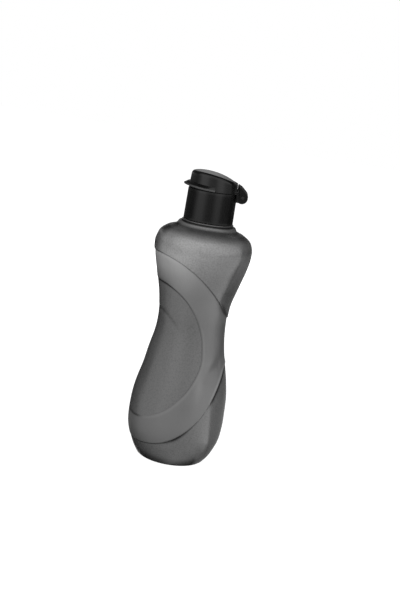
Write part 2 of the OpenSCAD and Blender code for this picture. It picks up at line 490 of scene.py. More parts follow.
@dataclass(frozen=True)
class Finish:
    """A moulded plastic or rubber finish with a fine grain in its surface."""

    name: str
    roughness: float
    grain_size: float
    grain_depth: float
    level: float = 0.0
    gloss: float = 0.5
    cloud_size: float = 9.0
    mottle: float = 0.06
    # Lightness of a painted highlight along edges that the mesh stores.
    painted_edge_highlight: float = 0.0
    unevenness: float = 0.12

    def tint(self, sheet: Sheet, place: Wire) -> Wire:
        """Returns the finish's colour, slightly uneven over the surface, with a painted highlight on stored
        edges.

        Args:
            sheet: The material's nodes.
            place: Object coordinates.

        Returns:
            The colour.
        """
        dark, light = self.level * (1 - self.mottle), self.level * (1 + self.mottle)
        plain = sheet.mix(sheet.noise(place, self.cloud_size, 2.0), grey(dark), grey(light))
        return sheet.mix(self.zone(sheet, "edge"), plain, grey(self.level + self.painted_edge_highlight))

    @staticmethod
    def zone(sheet: Sheet, name: str) -> Wire:
        """Returns a value that is stored on the mesh, or 0 where it isn't."""
        return sheet.node("ShaderNodeAttribute", {"attribute_name": name}, output="Fac")

    def cover(self, sheet: Sheet) -> Wire | float:
        """Returns how much of the grain shows, from 0 to 1."""
        return 1.0

    def rough(self, fine: Wire, cover: Wire | float) -> Wire:
        """Returns the roughness, slightly uneven with the grain."""
        return self.roughness + self.unevenness * (fine - 0.5) * cover

    def make(self) -> bpy.types.Material:
        """Makes the finish.

        Returns:
            The material.
        """
        material, sheet = new_material(self.name)
        place = sheet.node("ShaderNodeTexCoord", output="Object")
        cover = self.cover(sheet)
        fine = sheet.noise(place, self.grain_size, 2.0)
        bump = sheet.node("ShaderNodeBump", inputs={"Strength": 1.0, "Distance": self.grain_depth * MM,
                                                    "Height": fine * cover})
        shader = sheet.node("ShaderNodeBsdfPrincipled", inputs={
            "Base Color": self.tint(sheet, place), "Roughness": self.rough(fine, cover), "Normal": bump,
            "Specular IOR Level": self.gloss})
        sheet.node("ShaderNodeOutputMaterial", inputs={"Surface": self.paint_groove_shade(sheet, shader)})
        return material

    def paint_groove_shade(self, sheet: Sheet, shader: Wire) -> Wire:
        """Returns the shader with painted shade in the surface's grooves; a plain surface has none."""
        return shader


@dataclass(frozen=True)
class BlownFinish(Finish):
    """Smoke-grey blown plastic, grained on its grip zones, with painted light and shade over its wall."""

    cloud_size: float = 14.0
    unevenness: float = 0.1
    top: float = 201.6
    smooth_roughness: float = 0.38
    speckle_size: float = 1.1
    speckle_shade: float = 0.5
    crease_shade: float = 0.85
    painted_groove_grey: float = 0.02
    # Painted light and shade by height: shoulder glow, dark neck and foot, light and dark lines at the ring.
    painted_light_by_height: tuple[Point2, ...] = (
        (0.0, 0.030), (4.0, 0.064), (8.0, 0.124), (14.0, 0.129), (22.0, 0.115), (34.0, 0.126), (58.0, 0.124),
        (82.0, 0.121), (108.0, 0.111), (118.0, 0.130), (130.0, 0.142), (142.0, 0.180), (152.0, 0.232),
        (160.0, 0.278), (167.0, 0.300), (170.5, 0.298), (172.5, 0.278), (174.0, 0.195), (175.5, 0.110),
        (177.0, 0.062), (178.3, 0.055), (178.9, 0.150), (180.3, 0.170), (180.8, 0.030), (181.9, 0.030),
        (182.1, 0.180), (182.6, 0.150), (184.0, 0.080), (201.6, 0.080))

    def tint(self, sheet: Sheet, place: Wire) -> Wire:
        """Returns the colour, with painted light and shade up and across the wall and in its creases.

        Args:
            sheet: The material's nodes.
            place: Object coordinates.

        Returns:
            The colour.
        """
        up = sheet.node("ShaderNodeSeparateXYZ", inputs={0: place}, output=2) / (self.top * MM)
        stops = [(z / self.top, level) for z, level in self.painted_light_by_height]
        # The ramp paints light and shade by height.
        wall = sheet.node("ShaderNodeValToRGB", {"stops": stops}, {0: up})
        speckle = sheet.noise(place, self.speckle_size, 1.0) * self.zone(sheet, "grip")
        cloud = sheet.noise(place, self.cloud_size, 2.0)
        shade = self.mottle * cloud + self.speckle_shade * speckle * speckle
        # Painted shade in creases joins mottle and speckle; the clear share holds painted light and shade.
        shade = shade + self.crease_shade * self.zone(sheet, "crease")
        light = self.zone(sheet, "clear") * ((1 - shade) | 0.0)
        return sheet.node("ShaderNodeVectorMath", {"operation": "SCALE"}, {"Vector": wall, "Scale": light})

    def cover(self, sheet: Sheet) -> Wire:
        """Returns the grip zones' share."""
        return self.zone(sheet, "grip")

    def rough(self, fine: Wire, cover: Wire) -> Wire:
        """Returns the roughness, which is lower on the grained zones."""
        grained = self.roughness - self.smooth_roughness + self.unevenness * (fine - 0.5)
        return self.smooth_roughness + grained * cover

    def paint_groove_shade(self, sheet: Sheet, shader: Wire) -> Wire:
        """Paints shade as a dull dark surface where the creases are deepest.

        Args:
            sheet: The material's nodes.
            shader: The shader of the plain surface.

        Returns:
            The shader with the painted shade in the grooves.
        """
        deep = self.zone(sheet, "crease")
        groove_shade = sheet.node("ShaderNodeBsdfDiffuse", inputs={"Color": grey(self.painted_groove_grey)})
        return sheet.node("ShaderNodeMixShader", inputs={0: deep * deep * deep * deep, 1: shader, 2: groove_shade})


BLOWN = BlownFinish("smoke_blown_plastic", roughness=0.22, grain_size=1.2, grain_depth=0.03)
# The black finish paints a highlight on the lid lip's stored edge.
BLACK = Finish("black_moulded_plastic", 0.20, 0.5, 0.004, level=0.006, gloss=0.25, painted_edge_highlight=0.065)
PIN_BLACK = Finish("black_rod_plastic", 0.42, 0.4, 0.008, level=0.008, gloss=0.25)
MILKY = Finish("milky_silicone", 0.55, 0.6, 0.01, level=0.60, gloss=0.35, mottle=0.03)


def step(value: np.ndarray, low: float, high: float) -> np.ndarray:
    """Returns a smooth rise from 0 at one value to 1 at another."""
    t = np.clip((value - low) / (high - low), 0, 1)
    return t * t * (3 - 2 * t)


def bell(value: np.ndarray, middle: float | np.ndarray, width: float | np.ndarray) -> np.ndarray:
    """Returns a smooth hump around a value."""
    return np.exp(-(((value - middle) / width) ** 2))


def through(points: Sequence[Point2], value: np.ndarray) -> np.ndarray:
    """Returns the heights of a line drawn through points, at some values along it."""
    return np.interp(value, *zip(*points))


@dataclass
class Thread:
    """A screw thread: a ridge that winds up around the axis and fades at its ends."""

    root_r: float
    crest_r: float
    start_z: float
    pitch: float = 4.0
    turns: float = 1.5
    root_w: float = 1.9
    crest_w: float = 0.9
    run_out: float = 0.08
    steps: int = 96

    def build(self, name: str) -> bpy.types.Object:
        """Winds the ridge up.

        Args:
            name: Name of the new mesh.

        Returns:
            The ridge.
        """
        a, b = self.root_w / 2, self.crest_w / 2
        loop = [(self.root_r, -a), (self.crest_r, -b), (self.crest_r, b), (self.root_r, a), (self.root_r, -a)]
        ridge = Bench.line(name, [(r, 0.0, z + self.start_z) for r, z in loop])
        Bench.merge()
        Bench.wind(ridge, round(self.steps * self.turns), self.turns, self.pitch * self.turns)
        Bench.edit(ridge)
        bpy.ops.mesh.fill_holes(sides=4)
        Bench.close(ridge)
        Bench.sculpt(ridge, self.fade)
        return ridge

    def fade(self, places: np.ndarray) -> np.ndarray:
        """Sinks both ends of the ridge towards its root.

        Args:
            places: Places on the ridge.

        Returns:
            Their new places.
        """
        x, y, z = places.T
        share = (z - self.start_z) / (self.pitch * self.turns)
        keep = np.clip(np.minimum(share, 1 - share) / self.run_out, 0.1, 1)
        r = np.hypot(x, y)
        new = self.root_r + (r - self.root_r) * keep
        return np.stack([x * new / r, y * new / r, z], 1)


@dataclass(frozen=True)
class Oval:
    """An oval of the wall's pattern, seen from the front; its lower half has its own size and fullness."""

    wide: float
    high: float
    low_wide: float
    low_high: float
    low_power: float
    power: float
    x: float = -31.0
    z: float = 85.0
    blend: float = 12.0

    def share(self, x: np.ndarray, z: np.ndarray) -> np.ndarray:
        """Measures how far places lie outside the oval.

        Args:
            x: Places along X.
            z: Their heights.

        Returns:
            Distances as shares of the oval's size, negative inside.
        """
        low = step(self.z - z, -self.blend, self.blend)
        across = np.abs(x - self.x) / (self.wide + (self.low_wide - self.wide) * low)
        upward = np.abs(z - self.z) / np.where(z < self.z, self.low_high, self.high)
        power = self.power + (self.low_power - self.power) * low
        return (across**power + upward**power) ** (1 / power) - 1


class Zone(Enum):
    """Zones of the wall, which heights and patches of painted light and shade are kept to."""

    WALL = "whole wall"
    UPPER = "upper half"
    SHOULDER = "shoulder"
    UPPER_BAND = "band's upper half"
    LOWER_BAND = "band's lower half"
    PLAIN_BAND = "band beside the pad"
    OVER_PAD = "band over the pad"
    PAD = "pad"


@dataclass(frozen=True)
class Survey:
    """Places on the wall, with the measures that tell its zones apart.

    Attributes:
        x: Places along X.
        z: Heights.
        turn: Directions, from -1 at the left over 0 in front to 1 at the right.
        outer: Distances from the band's edge, positive outside it.
        inner: Distances from the pad's edge, positive outside it.
        upper: True where the shoulder borders on the band, and not the base.
    """

    x: np.ndarray
    z: np.ndarray
    turn: np.ndarray
    outer: np.ndarray
    inner: np.ndarray
    upper: np.ndarray
    valley: Point2 = (20.4, 72.6)
    valley_side: Point2 = (0.857, -0.514)
    fold: Point2 = (-16.0, 110.5)

    @property
    def inside(self) -> np.ndarray:
        """True within the band's edge."""
        return self.outer < 0

    @property
    def beyond(self) -> np.ndarray:
        """Share of shoulder and base."""
        return step(self.outer, -0.35, 0.35)

    @property
    def within(self) -> np.ndarray:
        """Share of the pad."""
        return step(self.inner, 0.6, -0.6)

    @property
    def off_valley(self) -> np.ndarray:
        """Distances across the band's slanting valley."""
        (x, z), (across, upward) = self.valley, self.valley_side
        return across * (self.x - x) + upward * (self.z - z)

    @property
    def along_valley(self) -> np.ndarray:
        """Distances down along the band's slanting valley."""
        (x, z), (across, upward) = self.valley, self.valley_side
        return upward * (self.x - x) - across * (self.z - z)

    @property
    def in_valley(self) -> np.ndarray:
        """Share of the valley, which runs out at both ends and at the band's edge."""
        return self.fade(along_valley=(-24, -10, 2, 14), outer=(0, -3)) * self.inside * (self.x > 0)

    @property
    def over_fold(self) -> np.ndarray:
        """Heights over the pad's curved fold."""
        along = self.x - self.fold[0]
        return self.z - (self.fold[1] - 0.72 * along - 0.02 * along**2)

    @property
    def in_fold(self) -> np.ndarray:
        """Share of the fold, which runs out to the right."""
        return self.within * self.fade(x=(-5, -16))

    def fade(self, **spans: tuple[float, ...]) -> np.ndarray:
        """Rises or falls smoothly by some measures.

        Args:
            **spans: For each measure, by its name, the values with a share of 0 and of 1; four values stand
                for a rise and a fall.

        Returns:
            The product of the shares.
        """
        share = np.ones_like(self.x)
        for measure, span in spans.items():
            share = share * step(getattr(self, measure), *span[:2])
            if len(span) == 4:
                share = share * step(getattr(self, measure), span[3], span[2])
        return share

    def hump(self, **humps: Point2) -> np.ndarray:
        """Rises around places by some measures.

        Args:
            **humps: For each measure, by its name, the hump's middle and width.

        Returns:
            The product of the humps.
        """
        share = np.ones_like(self.x)
        for measure, hump in humps.items():
            share = share * bell(getattr(self, measure), *hump)
        return share

    def zone(self, zone: Zone) -> np.ndarray | float:
        """Tells which places lie in a zone.

        Args:
            zone: The zone.

        Returns:
            Shares from 0 to 1.
        """
        plain = self.inside * (1 - self.within)
        shares = {
            Zone.WALL: 1.0, Zone.UPPER: self.upper, Zone.SHOULDER: self.upper * self.beyond,
            Zone.UPPER_BAND: self.upper & self.inside, Zone.LOWER_BAND: ~self.upper & self.inside,
            Zone.PLAIN_BAND: plain, Zone.OVER_PAD: plain * self.upper, Zone.PAD: self.within}
        return shares[zone]


@dataclass(frozen=True)
class PaintedPatch:
    """A patch of painted light (positive strength) or painted shade (negative), with its bounding spans and
    humps.
    """

    strength: float
    zone: Zone
    fades: dict[str, tuple[float, ...]] = field(default_factory=dict)
    humps: dict[str, Point2] = field(default_factory=dict)

    def light(self, at: Survey) -> np.ndarray:
        """Returns the painted light that the patch adds at some places, negative for painted shade."""
        return self.strength * at.zone(self.zone) * at.fade(**self.fades) * at.hump(**self.humps)


# Patches of painted light and shade, which the clear share multiplies into the wall's colour.
PAINTED_PATCHES = (
    # Shoulder: painted shade along both sides, with one stretch of painted light near its top.
    PaintedPatch(-0.3, Zone.WALL, {"turn": (0.72, 0.95), "z": (156, 166, 174, 179)}),
    PaintedPatch(-0.7, Zone.SHOULDER, {"turn": (-0.78, -0.95)}),
    PaintedPatch(-0.22, Zone.SHOULDER, {"turn": (-0.4, -0.9), "z": (168, 174)}),
    PaintedPatch(-0.35, Zone.SHOULDER, {"turn": (0.55, 0.65), "z": (144, 132)}),
    PaintedPatch(0.14, Zone.UPPER, {"turn": (0.35, 0.55, 0.74, 0.82)}, {"z": (164, 4)}),
    # Base: painted shade at both sides of its foot, painted light over that on the left.
    PaintedPatch(-0.5, Zone.WALL, {"turn": (0.5, 0.75), "z": (26, 12)}),
    PaintedPatch(-0.3, Zone.WALL, {"turn": (-0.4, -0.75), "z": (26, 12)}),
    PaintedPatch(0.3, Zone.WALL, {"turn": (-0.86, -0.94), "z": (14, 20, 30, 36)}),
    # Band: painted light along its edge at the lower right and the upper left, and along the pad's lower
    # edge.
    PaintedPatch(0.9, Zone.LOWER_BAND, {"x": (21.5, 26)}, {"outer": (-1.3, 0.9)}),
    PaintedPatch(0.2, Zone.UPPER_BAND, {"x": (-10, -24)}, {"outer": (-1.3, 0.8)}),
    PaintedPatch(0.22, Zone.WALL, {"z": (118, 100), "x": (-28, -20)}, {"inner": (0.9, 0.9)}),
    # Band beside the pad: painted light on two swells, painted shade under them, over the pad and at the
    # right.
    PaintedPatch(0.28, Zone.PLAIN_BAND, humps={"x": (13.5, 2.8), "z": (65, 11)}),
    PaintedPatch(0.14, Zone.PLAIN_BAND, humps={"x": (18, 3), "z": (81, 7)}),
    PaintedPatch(-0.1, Zone.PLAIN_BAND, humps={"x": (6, 6), "z": (49, 6)}),
    PaintedPatch(-0.3, Zone.OVER_PAD, {"x": (-12, -24)}, {"inner": (0, 5)}),
    PaintedPatch(-0.3, Zone.WALL, {"turn": (0.84, 0.93), "z": (82, 90, 108, 116)}),
    PaintedPatch(-0.05, Zone.PAD, {"z": (100, 120)}),
)


@dataclass
class SqueezeBody:
    """The blown shell: hourglass wall with its grip zones, pushed-up base, neck ring and threaded neck."""

    height: float = 182.4
    belly_r: float = 36.38
    waist_r: float = 25.5
    shoulder_r: float = 35.3
    base_r: float = 23.4
    stand_r: float = 20.0
    push_up: float = 4.0
    wall: float = 2.0
    ring_r: float = 19.5
    neck_r: float = 15.0
    mouth_r: float = 12.6
    neck_h: float = 19.2
    zone_step: float = 0.6
    band: Oval = Oval(63.8, 72.45, 60.4, 70.25, 2.09, 1.8)
    pad: Oval = Oval(42.9, 51.7, 43.85, 50.5, 1.72, 1.9)
    divide_z: float = 94.85
    edge_span: Point2 = (3.0, 170.0)
    top_row_z: float = 176.0
    dome_share: float = 0.978
    ledge_drop: float = 2.2
    ledge_lift: Point2 = (0.65, 0.35)
    groove_drop: float = 1.5
    thread_rise: float = 5.6
    thread_depth: float = 0.4
    thread_crest: float = 1.2
    left_swells: tuple[Point3, ...] = ((-0.8, 68, 11),)
    right_swells: tuple[Point3, ...] = (
        (0.4, 68, 11), (0.55, 54, 8), (0.4, 100, 10), (-0.35, 124, 8), (0.3, 147, 7))
    neck_swell: tuple[Point2, ...] = (
        (168, 0.0), (172, 0.3), (174, 0.6), (175.2, 0.9), (176.2, 1.0), (177.3, 0.6), (178.4, 0.4))
    # Where painted dark lines of shade run up base and shoulder at the right, by height.
    base_corner: tuple[Point2, ...] = ((6, 26.2), (15, 27.6), (26, 27.6), (37, 26.5), (53, 24.5))
    shoulder_corner: tuple[Point2, ...] = (
        (128, 0.65), (137, 0.7), (146, 0.73), (154, 0.755), (163, 0.785), (170, 0.83))
    # Painted light on the neck ring and its flare, by direction from -1 at the left to 1 at the right.
    painted_flare_light: tuple[Point2, ...] = (
        (-1.0, 0.72), (-0.8, 0.82), (-0.4, 1.05), (0.0, 1.25), (0.35, 1.06), (0.6, 0.62), (1.0, 0.55))
    columns: int = 336
    row_counts: tuple[int, ...] = (26, 20, 80, 20, 30)
    crowding: tuple[float, ...] = (0.8, 0.85, 0.4, 0.85, 0.8)
    curve: np.ndarray = field(init=False, repr=False)

    def __post_init__(self) -> None:
        """Draws the wall's outline at the smooth band's level."""
        stations = [
            (0.0, self.base_r + self.zone_step), (0.008, self.base_r + 2.2 + self.zone_step),
            (0.055, self.belly_r - 5.2), (0.13, self.belly_r - 0.7), (0.23, self.belly_r - 0.3),
            (0.33, self.belly_r - 2.5), (0.44, self.waist_r + 4.2), (0.55, self.waist_r + 0.35),
            (0.66, self.waist_r + 0.8), (0.77, self.shoulder_r - 4.6), (0.875, self.shoulder_r),
            (0.935, self.shoulder_r - 1.7), (0.963, self.shoulder_r - 7.8), (0.97, self.ring_r + 4.6),
            (self.dome_share, self.ring_r + 2.0)]
        self.curve = Outline.smooth([(share * self.height, r) for share, r in stations], 40)

    @property
    def dome_z(self) -> float:
        """Height of the foot of the neck."""
        return self.dome_share * self.height

    def radius(self, z: np.ndarray) -> np.ndarray:
        """Returns the wall's radius at some heights."""
        return np.interp(z, self.curve[:, 0], self.curve[:, 1])

    def crossing(self, turn: np.ndarray, oval: Oval, low: np.ndarray, high: np.ndarray,
                 enters: bool) -> np.ndarray:
        """Finds the heights at which an oval's edge crosses the wall.

        Args:
            turn: Angles about the axis, in radians.
            oval: The oval.
            low: Lowest heights to search.
            high: Highest heights to search.
            enters: True where the wall comes into the oval on its way up.

        Returns:
            One height for each angle.
        """
        for _ in range(40):
            middle = (low + high) / 2
            out = oval.share(self.radius(middle) * np.cos(turn), middle) > 0
            rise = out == enters
            low, high = np.where(rise, middle, low), np.where(rise, high, middle)
        return (low + high) / 2

    def seams(self, turn: np.ndarray) -> np.ndarray:
        """Finds the lines that the mesh's rows follow around the wall.

        Args:
            turn: Angles about the axis, in radians.

        Returns:
            Eight rising heights for each angle: the wall's ends, two plain rows, and the pattern's edges.
        """
        every = np.ones_like(turn)
        base = self.crossing(turn, self.band, self.edge_span[0] * every, self.divide_z * every, True)
        shoulder = self.crossing(turn, self.band, self.divide_z * every, self.edge_span[1] * every, False)
        span = shoulder - base
        pad_low = self.crossing(turn, self.pad, base, self.pad.z * every, True)
        pad_high = self.crossing(turn, self.pad, self.pad.z * every, shoulder, False)
        pad_low = np.minimum(pad_low, base + 0.38 * span)
        pad_high = np.maximum(pad_high, base + 0.62 * span)
        return np.stack([0 * every, 2 * every, base, pad_low, pad_high, shoulder, self.top_row_z * every,
                         self.dome_z * every], 1)

    def rows(self) -> list[float]:
        """Spaces the wall's rows, close together at the pattern's edges.

        Returns:
            Their heights at the wall's front.
        """
        nominal = self.seams(np.array([-math.pi / 2]))[0]
        heights = [0.0, 0.35, 0.8, 1.4]
        for low, high, count, crowd in zip(nominal[1:-1], nominal[2:-1], self.row_counts, self.crowding):
            t = np.arange(count) / count
            heights.extend(low + (high - low) * (t - crowd * np.sin(math.tau * t) / math.tau))
        return [*heights, *np.linspace(self.top_row_z, self.dome_z, 6)]

    def outline(self) -> list[Point2]:
        """Draws the shell's closed outline.

        Returns:
            The (radius, height) points of base, wall, neck, mouth and inside.
        """
        base = [(0.0, self.push_up), (8.0, 0.86 * self.push_up), (14.5, 0.5 * self.push_up),
                (18.6, 0.16 * self.push_up), (self.stand_r, 0.03), (self.stand_r + 0.7, 0.0)]
        wall = [(float(self.radius(z)), z) for z in self.rows()]
        top = self.height + self.neck_h
        flare_r = self.ring_r + 2.6
        line_r = self.ring_r - 0.4
        neck = Outline.rounded([
            (flare_r, self.dome_z, 0), (self.ring_r + 1.4, self.height - self.ledge_drop, 0.7),
            (line_r - 0.5, self.height - self.groove_drop, 0.1), (line_r, self.height - 0.7, 0.15),
            (line_r, self.height, 0.35), (self.neck_r, self.height, 0.3), (self.neck_r, top, 0.5),
            (self.mouth_r, top, 0.5), (self.mouth_r, self.dome_z + 2.5, 2.0),
            (self.neck_r + 2, self.dome_z - 1.2, 1.0),
            (float(self.radius(174)) - 3.2, 174, 1.5), (float(self.radius(168)) - self.wall, 168, 0)], 4, 4.0)
        inside = [(float(self.radius(z)) - self.wall, float(z)) for z in
                  (162, 155, 147, 138, 128, 117, 106, 95, 84, 73, 62, 51, 40, 30, 22, 15, 9, 5, 3)]
        floor = [(self.stand_r + 1.2, 1.5), (self.stand_r - 2, 1.5), (9.0, self.push_up + 0.4),
                 (0.0, self.push_up + 1.1)]
        return [*base, *wall, *neck[1:], *inside, *floor]

    def distance(self, places: np.ndarray, oval: Oval) -> np.ndarray:
        """Measures how far places on the wall lie from an oval's edge, along the surface.

        Args:
            places: Places on the wall.
            oval: The oval.

        Returns:
            Distances, positive outside the oval.
        """
        x, y, z = places.T
        share, tiny = oval.share(x, z), 0.05
        across = (oval.share(x + tiny, z) - share) / tiny
        upward = (oval.share(x, z + tiny) - share) / tiny
        r = np.hypot(x, y)
        lean = (self.radius(z + 0.2) - self.radius(z - 0.2)) / 0.4
        along = across * y / r
        rising = (across * lean * x / r + upward) / np.sqrt(1 + lean**2)
        return share / np.maximum(np.hypot(along, rising), 1e-4)

    def survey(self, places: np.ndarray) -> Survey:
        """Measures places on the wall.

        Args:
            places: Places at the band's level.

        Returns:
            The places with their measures.
        """
        x, y, z = places.T
        outer, inner = self.distance(places, self.band), self.distance(places, self.pad)
        return Survey(x, z, x / np.hypot(x, y), outer, inner, z > self.divide_z)

    def zone_heights(self, at: Survey) -> np.ndarray:
        """Finds how far the zones stand out of the band's level.

        Args:
            at: Places on the wall.

        Returns:
            Heights in millimetres.
        """
        # Shoulder: stands proud, and the band dips before it on the right.
        shoulder = self.zone_step * at.zone(Zone.SHOULDER)
        dip = -(0.25 + 0.5 * at.fade(x=(12, 22))) * at.hump(outer=(0, 2.2)) * at.zone(Zone.UPPER_BAND)
        # Base: lies deeper, most of all under the band's front.
        hollow = 1.3 * at.hump(x=(3, 9)) * bell(np.maximum(at.outer, 0), 0, 5)
        base = -(self.zone_step + hollow) * at.fade(outer=(-0.4, 0.4)) * ~at.upper
        # Band: has a low rim, and a slanting valley behind it.
        rim = 0.3 * at.fade(z=(34, 52, 84, 96)) * at.hump(outer=(0, 2.2)) * at.inside
        valley = -1.2 * at.hump(off_valley=(0, 4.5)) * at.in_valley
        # All hollows run out towards the two sides.
        keep = 1 - 0.55 * step(np.abs(at.turn), 0.86, 0.98)
        keep = keep * (1 - 0.6 * at.fade(turn=(0.86, 0.98), z=(56, 70)))
        return shoulder + rim + (dip + base + valley + self.pad_heights(at)) * keep

    @staticmethod
    def pad_heights(at: Survey) -> np.ndarray:
        """Finds the pad's heights: sunk above and at its right, level at its foot, proud at its lower left.

        Args:
            at: Places on the wall.

        Returns:
            Heights in millimetres, negative where the pad is sunk.
        """
        crisp = at.within
        soften = at.fade(inner=(2.5, -2.5)) - crisp
        sunk = -0.7 * at.fade(z=(50, 105)) * (crisp + soften * at.fade(z=(84, 48)))
        proud = 0.5 * at.fade(z=(66, 40), x=(-35, -28, -16, 2)) * (crisp + soften * at.fade(x=(-30, -22)))
        fold = 0.3 * at.fade(over_fold=(0, -5), z=(70, 105)) - 0.4 * at.hump(over_fold=(0, 0.9))
        return sunk + proud + fold * at.in_fold

    def fullness(self, at: Survey) -> np.ndarray:
        """Finds where the wall's two sides are fuller or slimmer than its turned outline.

        Args:
            at: Places on the wall.

        Returns:
            Heights in millimetres, negative where the wall is slimmer.
        """
        left, right = (sum(height * at.hump(z=(z, width)) for height, z, width in swells)
                       for swells in (self.left_swells, self.right_swells))
        foot = 0.5 * at.fade(z=(0, 6, 16, 26))
        waist = 0.6 * at.fade(turn=(-0.7, -0.95), z=(108, 122, 162, 170)) * (1 - 0.45 * at.fade(z=(148, 158)))
        neck = at.fade(turn=(-0.5, -0.95)) * through(self.neck_swell, at.z)
        to_left, to_right = at.fade(turn=(-0.75, -0.95)), at.fade(turn=(0.75, 0.95))
        return waist + neck + to_left * left + to_right * (right + foot)

    @staticmethod
    def creases(at: Survey) -> np.ndarray:
        """Finds the painted shade in the creases between the zones.

        Args:
            at: Places on the wall.

        Returns:
            Shares from 0 to 1.
        """
        # Painted shade along the band's edge: broader at the front and the right below, and at the right
        # above.
        front, side, wedge = at.hump(x=(3, 9)), at.fade(x=(21.5, 26)), at.fade(x=(15, 23))
        low_edge = bell(at.outer, 0.2 + 0.7 * front + 0.9 * side, 0.5 + 0.9 * front + 1.3 * side)
        low_edge = low_edge * (0.6 + 0.4 * front + 0.4 * side)
        high_edge = bell(at.outer, 0.1 + 0.4 * wedge, 0.55 + 0.9 * wedge)
        high_edge = high_edge * (0.3 + 0.5 * wedge + 0.6 * at.fade(x=(-24, -31)))
        # Painted shade around the pad, with a hook at its lower left, in its fold and in the band's valley.
        left = at.fade(x=(-10, -24))
        around = (0.35 + 0.6 * left) * bell(at.inner, -0.2, 0.6 + 0.4 * left) * at.fade(z=(52, 62))
        hook = 0.8 * at.hump(inner=(0.5, 0.8)) * at.fade(z=(50, 34), x=(-24, -30))
        fold = 0.5 * at.hump(over_fold=(0, 1.0)) * at.in_fold
        valley = 0.1 * at.hump(off_valley=(-1.5, 4.0)) * at.in_valley
        return np.clip(np.where(at.upper, high_edge, low_edge) + around + hook + fold + valley, 0, 1)

    def painted_light_and_shade(self, at: Survey) -> np.ndarray:
        """Finds the painted light and shade across the wall.

        Args:
            at: Places on the wall.

        Returns:
            Shares of the finish's tint, 1 for a plain wall.
        """
        # Painted light on the shoulder and the band under it at the left; dense holds painted shade at the
        # right.
        high = at.fade(z=(124, 146)) * (1 - 0.3 * at.fade(z=(156, 172))) * (1 - at.within)
        painted_light_left = 0.36 * at.fade(turn=(0.1, -0.35)) * (1 - 0.6 * at.fade(z=(154, 166)))
        painted_light_left = painted_light_left + 0.2 * at.fade(z=(140, 150, 156, 163), turn=(-0.2, -0.5))
        dense = 0.4 * at.fade(turn=(0.0, 0.6), z=(179, 174))
        # A painted dark line of shade runs up base and shoulder where each turns its corner at the right.
        base_line = bell(at.x, through(self.base_corner, at.z), 1.0) * at.fade(outer=(0.3, 1.0)) * ~at.upper
        shoulder_line = bell(at.turn, through(self.shoulder_corner, at.z), 0.025) * at.zone(Zone.SHOULDER)
        lines = 0.25 * base_line + 0.15 * shoulder_line * at.fade(z=(172, 166))
        return 1 + high * (painted_light_left - dense) - lines + sum(shade.light(at) for shade in PAINTED_PATCHES)

    def relief(self, places: np.ndarray) -> dict[str, np.ndarray]:
        """Finds how far the wall stands out, and the shares that its finish needs.

        Args:
            places: Places on the wall at the band's level.

        Returns:
            Under "raise" heights in millimetres, under "grip" the grained share, under "crease" the painted
            shade in the creases, and under "clear" the painted light and shade.
        """
        at = self.survey(places)
        return {"raise": self.zone_heights(at) + self.fullness(at), "grip": np.maximum(at.beyond, at.within),
                "crease": self.creases(at), "clear": self.painted_light_and_shade(at)}

    def raise_zones(self, piece: bpy.types.Object) -> None:
        """Leads the wall's rows along the pattern, raises its zones and stores what its finish needs.

        Args:
            piece: The turned shell.
        """
        # The crease share carries painted shade, and the clear share painted light and shade.
        stored = {name: np.full(len(piece.data.vertices), plain, np.float32)
                  for name, plain in (("grip", 0.0), ("crease", 0.0), ("clear", 1.0))}
        nominal = self.seams(np.array([-math.pi / 2]))[0]
        around = self.seams(math.tau * np.arange(self.columns) / self.columns)

        def move(places: np.ndarray) -> np.ndarray:
            """Gives the wall and the ledge over it their new places, and notes the shares.

            Args:
                places: Places on the turned shell.

            Returns:
                Their new places.
            """
            x, y, z = places.T
            turn, reach = np.arctan2(y, x), np.hypot(x, y)
            wall = (z > -0.01) & (z < self.dome_z + 0.01) & (reach > self.radius(z) - 0.3)
            column = np.rint(turn / math.tau * self.columns).astype(int) % self.columns
            height = z.copy()
            for k in range(len(nominal) - 1):
                part = wall & (z >= nominal[k]) & (z <= nominal[k + 1])
                share = (z[part] - nominal[k]) / (nominal[k + 1] - nominal[k])
                low, high = around[column[part], k], around[column[part], k + 1]
                height[part] = low + (high - low) * share
            facing = np.stack([np.cos(turn[wall]), np.sin(turn[wall])], 1)
            r = self.radius(height[wall])
            relief = self.relief(np.column_stack([r[:, None] * facing, height[wall]]))
            for name, values in stored.items():
                values[wall] = relief[name]
            r = r + relief["raise"]
            new = places.copy()
            new[wall] = np.column_stack([r[:, None] * facing, height[wall]])
            # Painted shade fills the groove under the ring; painted light lies over the ring and its flare,
            # most at front and back. The ledge under that is higher at both sides.
            neck = ~wall & (reach > self.neck_r + 2)
            stored["crease"][neck & (np.abs(z - self.height + self.groove_drop) < 0.45)] = 1.0
            flare = neck & (np.abs(z - self.height + 2) < 2.1)
            stored["clear"][flare] = through(self.painted_flare_light, np.cos(turn[flare]))
            ledge = flare & (reach > self.ring_r + 0.1)
            side = np.cos(turn[ledge])
            to_left, to_right = step(side, -0.75, -0.95), step(side, 0.75, 0.95)
            new[ledge, 2] += self.ledge_lift[0] * to_left + self.ledge_lift[1] * to_right
            return new

        Bench.sculpt(piece, move)
        for name, values in stored.items():
            Bench.store(piece, name, values)

    def build(self) -> bpy.types.Object:
        """Builds the shell.

        Returns:
            The finished piece.
        """
        piece = Bench.turn("squeeze_body", self.outline(), self.columns)
        self.raise_zones(piece)
        root_r, crest_r = self.neck_r - self.thread_depth, self.neck_r + self.thread_crest
        Bench.join(piece, Thread(root_r, crest_r, self.height + self.thread_rise).build("neck_thread"))
        Bench.smooth(piece, 65)
        return piece


